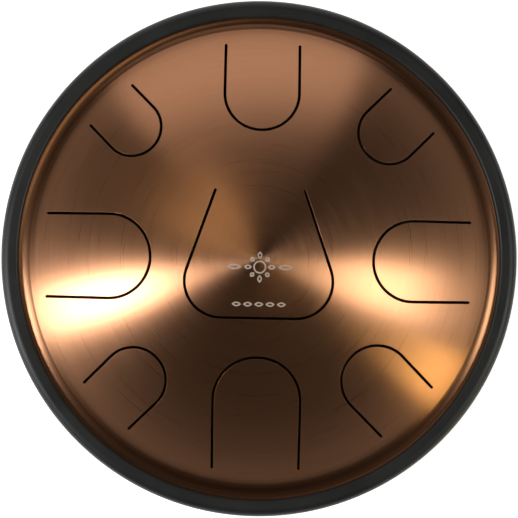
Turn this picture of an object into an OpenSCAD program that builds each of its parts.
// Steel tongue drum: two pressed steel shells, nine sprung tongues cut from the
// top one, a rubber ring over their seam, and four rubber feet.
// The origin is on the drum's axis in the plane it stands on, with +Z up.
// The root of the centre tongue points towards +Y.

/* [Steel sheet] */
// Thickness of the sheet that both shells are pressed from
sheet_t = 1.5; // [1.2:0.1:1.8]

/* [Top shell] */
// Radius of the dome, which is part of a sphere
dome_r = 230; // [225:1:240]
// Distance from the axis at which the dome meets the shoulder
dome_edge_r = 146.4; // [142:0.1:147]
// Outside radius of the bend at the shoulder
shoulder_r = 3; // [2:0.5:6]
// Slope of the short wall below the shoulder, in degrees
wall_slope = 50; // [46:1:74]
// Length of the short wall
wall_len = 1; // [0.5:0.5:4]
// Outside radius of the bend from either shell into its flange
rim_bend_r = 8; // [6:0.5:9]
// Outside radius of both flanges
flange_r = 160; // [159:0.5:161]

/* [Tongues] */
// Width of the slots
slot_w = 1.7; // [1.2:0.1:2]
// Half widths of tongues 1 to 8 to the middle of the slot, lowest note first
tongue_half_w = [27.5, 26.5, 25.4, 23.5, 22.4, 20.4, 19.5, 18.4]; // [18:0.1:28]
// Distances from the axis to the tips of tongues 1 to 8
tongue_tip_r = [61.7, 68, 71.6, 80.7, 84.4, 89.3, 94.3, 96.9]; // [60:0.1:98]
// Distances from the axis to the outer ends of the slots of tongues 1 to 8
slot_end_r = [134, 135.4, 134.5, 136.3, 136, 135.5, 136.2, 136.1]; // [134:0.1:137]
// Distance from the axis to the tip of the centre tongue
centre_tip_y = 37.1; // [36:0.1:39]
// Half length of the straight part of the centre tongue's tip
centre_tip_half_w = 23.4; // [22:0.1:26]
// Radius of the centre tongue's two corners
centre_corner_r = 22.9; // [20:0.1:24]
// Angle by which each side of the centre tongue leans in, in degrees
centre_side_a = 19.1; // [15:0.1:22]
// Distance from the axis to the ends of the centre tongue's slot
centre_end_y = 43.4; // [40:0.1:44]

/* [Bottom shell] */
// Radius of the base, which is part of a sphere
base_r = 320; // [310:5:340]
// Radius of the curve from the base up to the rim
side_r = 70; // [68:1:72]
// Outside radius of the bowl at its widest
bowl_r = 143.5; // [143:0.5:145]
// Height of the base's lowest point above the ground, if it had no port
ground_gap = 3; // [2:0.5:5]
// Radius of the sound port cut in the base
port_r = 34; // [28:1:36]

/* [Rubber ring and trim] */
// Outside radius of the rim ring
ring_r = 165; // [164.5:0.5:166]
// Height of the rim ring
ring_h = 13; // [12:1:18]
// Rounding of the rim ring's outer edges
ring_round_r = 5.5; // [5:0.5:6]
// Rounding of the rim ring's lips
lip_round_r = 2.2; // [1:0.1:2.6]
// Width of the port trim, from the port inwards and outwards together
trim_w = 7; // [6:0.5:8]
// Height of the port trim
trim_h = 5.6; // [5.4:0.2:6]
// Rounding of the port trim's edges
trim_round_r = 1.2; // [0.8:0.1:1.4]

/* [Feet and fasteners] */
// Distance from the axis to the middle of each foot's top
foot_pitch_r = 78; // [74:1:84]
// Radius of a foot where it meets the base
foot_top_r = 14; // [13:0.5:15]
// Radius of a foot at its sole
foot_sole_r = 12; // [11:0.5:13]
// Thickness of rubber clamped under the screw's head
foot_web = 5; // [4:0.5:6]
// Length of the M4 screws under the head
screw_len = 12; // [12:1:14]

/* [Hidden] */
$fn = 180;
tongue_count = len(tongue_half_w);
// The low notes lie on the axes, and the scale zigzags from side to side.
tongue_a = [270, 180, 0, 90, 315, 225, 45, 135];
foot_a = [45, 135, 225, 315];

// Gap at a tongue's root, where the sheet bends, so that the solids stay apart
root_gap = 0.05;
// Curves that run smoothly into their neighbours cross them by this much, so
// that every outline closes cleanly
tuck = 0.002;
// Thickness of the adhesive between the flanges
bond_t = 0.4;
// Gap between the edge of the flanges and the rim ring's channel
channel_gap = 0.5;
// Gap between the faces of the flanges and the rim ring's channel
face_gap = 0.03;
// Gap between the wall's bend and the rim ring's lips
lip_gap = 0.15;

// Radii of the M4 fasteners and of the holes they pass through
screw_r = 2;
hole_r = 2.2;
head_r = 4;
head_h = 2.5;
head_hole_r = 5;
hex_key_w = 2.5;
hex_key_depth = 1.3;
washer_r = 4.5;
washer_t = 0.8;
nut_flat_w = 7;
nut_h = 3.2;

// Bottom shell: centres of its curves, worked out from tangency
base_c = [0, ground_gap + base_r];
side_c_r = bowl_r - side_r;
side_c = [side_c_r, base_c[1] - sqrt(pow(base_r - side_r, 2) - pow(side_c_r, 2))];
base_a = asin(side_c_r / (base_r - side_r));
low_rim_c = [bowl_r + rim_bend_r, side_c[1]];
low_flange_z = low_rim_c[1] + rim_bend_r;

// Seam: the bottom flange, the adhesive and the top flange, from below
bond_z = low_flange_z + sheet_t;
top_flange_z = bond_z + bond_t;
seam_top_z = top_flange_z + sheet_t;

// Top shell: centres of its curves, followed down from the dome's centre
dome_a = asin(dome_edge_r / dome_r);
wall_out = dir(90 - wall_slope);
shoulder_drop = (dome_r - shoulder_r) * dir(90 - dome_a);
rim_drop = shoulder_drop + wall_len * dir(-wall_slope) + (shoulder_r + rim_bend_r) * wall_out;
dome_c = [0, seam_top_z + rim_bend_r - rim_drop[1]];
shoulder_c = dome_c + shoulder_drop;
rim_c = dome_c + rim_drop;
lip_r = rim_c[0] + lip_gap;
drum_h = dome_c[1] + dome_r;

// Rim ring, level with the seam
ring_z = (low_flange_z + seam_top_z) / 2 - ring_h / 2;

// Port trim, level with the sheet halfway across its width
trim_r = port_r - 0.35 * trim_w;
trim_mid_r = trim_r + trim_w / 2;
trim_mid_z = base_c[1] - sqrt(pow(base_r - sheet_t / 2, 2) - pow(trim_mid_r, 2));
trim_z = trim_mid_z - trim_h / 2;

// Feet stand square to the base: their axes pass through the base's centre.
foot_tilt = asin(foot_pitch_r / base_r);

copper = [0.62, 0.40, 0.27];
rubber_black = [0.10, 0.10, 0.11];
steel = [0.70, 0.70, 0.72];
glue_grey = [0.45, 0.45, 0.43];

// ---------- Profiles, in the plane of radius (x) and height (y) ----------

// Point at distance 1 in direction a, in degrees
function dir(a) = [cos(a), sin(a)];

// Slice of a disc between two directions less than 90 degrees apart
module disc_slice(c, r, a0, a1) {
    intersection() {
        translate(c)
            circle(r);
        polygon([c, c + 2 * r * dir(a0), c + 2 * r * dir(a1)]);
    }
}

// Everything below the top shell's outer surface moved in by d, out to a
// radius and down to a height
module below_top(d, right, low) {
    wall_foot = rim_c - (rim_bend_r + d) * wall_out;
    wall_head = wall_foot - (wall_len + 2 * shoulder_r) * dir(-wall_slope);
    difference() {
        polygon([
            [0, low],
            [0, drum_h + 1],
            [wall_head[0], drum_h + 1],
            wall_head,
            wall_foot,
            rim_c,
            [rim_c[0], seam_top_z - d],
            [right, seam_top_z - d],
            [right, low]
        ]);
        // Air above the dome
        difference() {
            translate([0, shoulder_c[1]])
                square([right, dome_r]);
            translate(dome_c)
                circle(dome_r - d);
        }
        // Air outside the shoulder's bend
        difference() {
            polygon([
                shoulder_c,
                shoulder_c + 2 * shoulder_r * wall_out,
                shoulder_c + 2 * shoulder_r * dir(90 - dome_a)
            ]);
            translate(shoulder_c)
                circle(shoulder_r - d + tuck);
        }
        translate(rim_c)
            circle(rim_bend_r + d + tuck);
    }
}

module top_profile() {
    difference() {
        below_top(0, flange_r, top_flange_z - 2);
        below_top(sheet_t, flange_r + 1, top_flange_z - 3);
    }
}

// Everything above the bottom shell's outer surface moved in by d, out to a
// radius and up to a height
module above_bowl(d, right, high) {
    intersection() {
        union() {
            disc_slice(base_c, base_r - d, 270, 270 + base_a);
            translate(side_c)
                circle(side_r - d + tuck);
            difference() {
                polygon([
                    [0, low_rim_c[1]],
                    low_rim_c,
                    [low_rim_c[0], low_flange_z + d],
                    [right, low_flange_z + d],
                    [right, high],
                    [0, high]
                ]);
                translate(low_rim_c)
                    circle(rim_bend_r + d + tuck);
            }
        }
        square([right, high]);
    }
}

module bowl_profile() {
    difference() {
        above_bowl(0, flange_r, bond_z);
        above_bowl(sheet_t, flange_r + 1, bond_z + 2);
        square([port_r, bond_z]);
    }
}

// The base's sheet alone, which the port trim grips
module base_profile() {
    difference() {
        disc_slice(base_c, base_r, 270, 270 + base_a);
        translate(base_c)
            circle(base_r - sheet_t);
        square([port_r, bond_z]);
    }
}

// What is cut away to round a corner at the origin
module corner_air(r) {
    difference() {
        translate([-1, -1])
            square(r + 1);
        translate([r, r])
            circle(r + tuck);
    }
}

// Rectangle whose two inner corners and two outer corners have their own roundings
module round_bar(size, r_in, r_out) {
    difference() {
        square(size);
        for (top = [0, 1])
            translate([0, top * size[1]])
                mirror([0, top])
                    corner_air(r_in);
        for (top = [0, 1])
            translate([size[0], top * size[1]])
                mirror([0, top])
                    mirror([1, 0])
                        corner_air(r_out);
    }
}

// ---------- Outlines of the tongues, seen from above ----------

// Tongue i, grown by d, from its tip out to the distance end_r, along +X
module tongue_outline(i, d, end_r) {
    half_w = tongue_half_w[i] + d;
    tip_c = tongue_tip_r[i] + tongue_half_w[i];
    translate([tip_c, 0])
        circle(half_w);
    translate([tip_c, -half_w])
        square([end_r - tip_c, 2 * half_w]);
}

// Centre tongue, grown by d, from its tip up to the distance end_y, along +Y
module centre_outline(d, end_y) {
    corner = [centre_tip_half_w, centre_corner_r - centre_tip_y];
    side = corner + (centre_corner_r + d) * dir(centre_side_a);
    top_x = side[0] - (end_y - side[1]) * tan(centre_side_a);
    for (s = [-1, 1])
        translate([s * corner[0], corner[1]])
            circle(centre_corner_r + d + tuck);
    polygon([
        [-corner[0], -centre_tip_y - d],
        [corner[0], -centre_tip_y - d],
        side,
        [top_x, end_y],
        [-top_x, end_y],
        [-side[0], side[1]]
    ]);
}

// Opening in the shell for tongue i, with round ends to its slot
module tongue_opening(i) {
    root_r = slot_end_r[i] - slot_w / 2;
    tongue_outline(i, slot_w / 2, root_r);
    for (s = [-1, 1])
        translate([root_r, s * tongue_half_w[i]])
            circle(slot_w / 2);
}

module centre_opening() {
    root_y = centre_end_y - slot_w / 2;
    side_x = centre_tip_half_w + centre_corner_r / cos(centre_side_a);
    rise = root_y + centre_tip_y - centre_corner_r;
    centre_outline(slot_w / 2, root_y);
    for (s = [-1, 1])
        translate([s * (side_x - rise * tan(centre_side_a)), root_y])
            circle(slot_w / 2);
}

// Prism tall enough to pass through the whole dome
module through_dome() {
    translate([0, 0, seam_top_z])
        linear_extrude(drum_h - seam_top_z + 5)
            children();
}

// ---------- Sheet metal ----------

// The dome's sheet as a whole ball, with its poles on the Y axis
module dome_ball() {
    translate([0, 0, dome_c[1]])
        rotate([90, 0, 0])
            difference() {
                sphere(dome_r);
                sphere(dome_r - sheet_t);
            }
}

module top_shell() {
    color(copper)
        difference() {
            rotate_extrude()
                top_profile();
            through_dome()
                centre_opening();
            for (i = [0:tongue_count - 1])
                through_dome()
                    rotate(tongue_a[i])
                        tongue_opening(i);
        }
}

module tongue(i) {
    color(copper)
        intersection() {
            dome_ball();
            through_dome()
                rotate(tongue_a[i])
                    tongue_outline(i, -slot_w / 2, slot_end_r[i] - slot_w / 2 - root_gap);
        }
}

module tongue_centre() {
    color(copper)
        intersection() {
            dome_ball();
            through_dome()
                centre_outline(-slot_w / 2, centre_end_y - slot_w / 2 - root_gap);
        }
}

module bottom_shell() {
    color(copper)
        difference() {
            rotate_extrude()
                bowl_profile();
            at_feet()
                bar(hole_r, -2 * sheet_t, sheet_t);
        }
}

// ---------- Rubber and adhesive ----------

module rim_ring() {
    color(rubber_black)
        rotate_extrude()
            difference() {
                translate([lip_r, ring_z])
                    round_bar([ring_r - lip_r, ring_h], lip_round_r, ring_round_r);
                translate([0, low_flange_z - face_gap])
                    square([flange_r + channel_gap, seam_top_z - low_flange_z + 2 * face_gap]);
            }
}

module seam_bond() {
    color(glue_grey)
        rotate_extrude()
            translate([rim_c[0], bond_z])
                square([flange_r - rim_c[0], bond_t]);
}

module port_trim() {
    color(rubber_black)
        rotate_extrude()
            difference() {
                translate([trim_r, trim_z])
                    round_bar([trim_w, trim_h], trim_round_r, trim_round_r);
                base_profile();
            }
}

// ---------- Feet and their fasteners ----------

// Puts a child on one foot's axis, with its origin on the outside of the base
// and -Z pointing out of the drum
module at_foot(a) {
    rotate(a)
        translate([0, 0, base_c[1]])
            rotate([0, -foot_tilt, 0])
                translate([0, 0, -base_r])
                    children();
}

module at_feet() {
    for (a = foot_a)
        at_foot(a)
            children();
}

// Cylinder on the local axis between two heights
module bar(r, z0, z1) {
    translate([0, 0, z0])
        cylinder(r = r, h = z1 - z0);
}

module foot(a) {
    // Along its axis the foot reaches the ground at this depth.
    sole = base_c[1] / cos(foot_tilt) - base_r;
    low = sole + foot_sole_r;
    color(rubber_black)
        difference() {
            at_foot(a)
                rotate_extrude()
                    difference() {
                        polygon([
                            [hole_r, sheet_t],
                            [foot_top_r, sheet_t],
                            [foot_top_r, 0],
                            [foot_sole_r, -sole],
                            [foot_sole_r, -low],
                            [head_hole_r, -low],
                            [head_hole_r, -foot_web],
                            [hole_r, -foot_web]
                        ]);
                        translate([0, base_r])
                            circle(base_r);
                    }
            translate([-flange_r, -flange_r, -low])
                cube([2 * flange_r, 2 * flange_r, low]);
        }
}

module foot_screws() {
    color(steel)
        at_feet()
            difference() {
                union() {
                    bar(screw_r, -foot_web, screw_len - foot_web);
                    bar(head_r, -foot_web - head_h, -foot_web);
                }
                translate([0, 0, -foot_web - head_h - 1])
                    cylinder(d = hex_key_w / cos(30), h = hex_key_depth + 1, $fn = 6);
            }
}

module foot_washers() {
    // A flat washer on the curved sheet touches along its rim.
    lift = sheet_t + pow(washer_r, 2) / (2 * (base_r - sheet_t)) + 0.002;
    color(steel)
        at_feet()
            difference() {
                bar(washer_r, lift, lift + washer_t);
                bar(hole_r, 0, 2 * screw_len);
            }
}

module foot_nuts() {
    seat = sheet_t + washer_t + pow(washer_r, 2) / (2 * (base_r - sheet_t)) + 0.002;
    color(steel)
        at_feet()
            difference() {
                translate([0, 0, seat])
                    cylinder(d = nut_flat_w / cos(30), h = nut_h, $fn = 6);
                bar(screw_r, 0, 2 * screw_len);
            }
}

top_shell();
bottom_shell();
rim_ring();
seam_bond();
port_trim();
tongue_centre();
for (i = [1:tongue_count])
    tongue(i - 1);
for (i = [1:len(foot_a)])
    foot(foot_a[i - 1]);
foot_screws();
foot_washers();
foot_nuts();
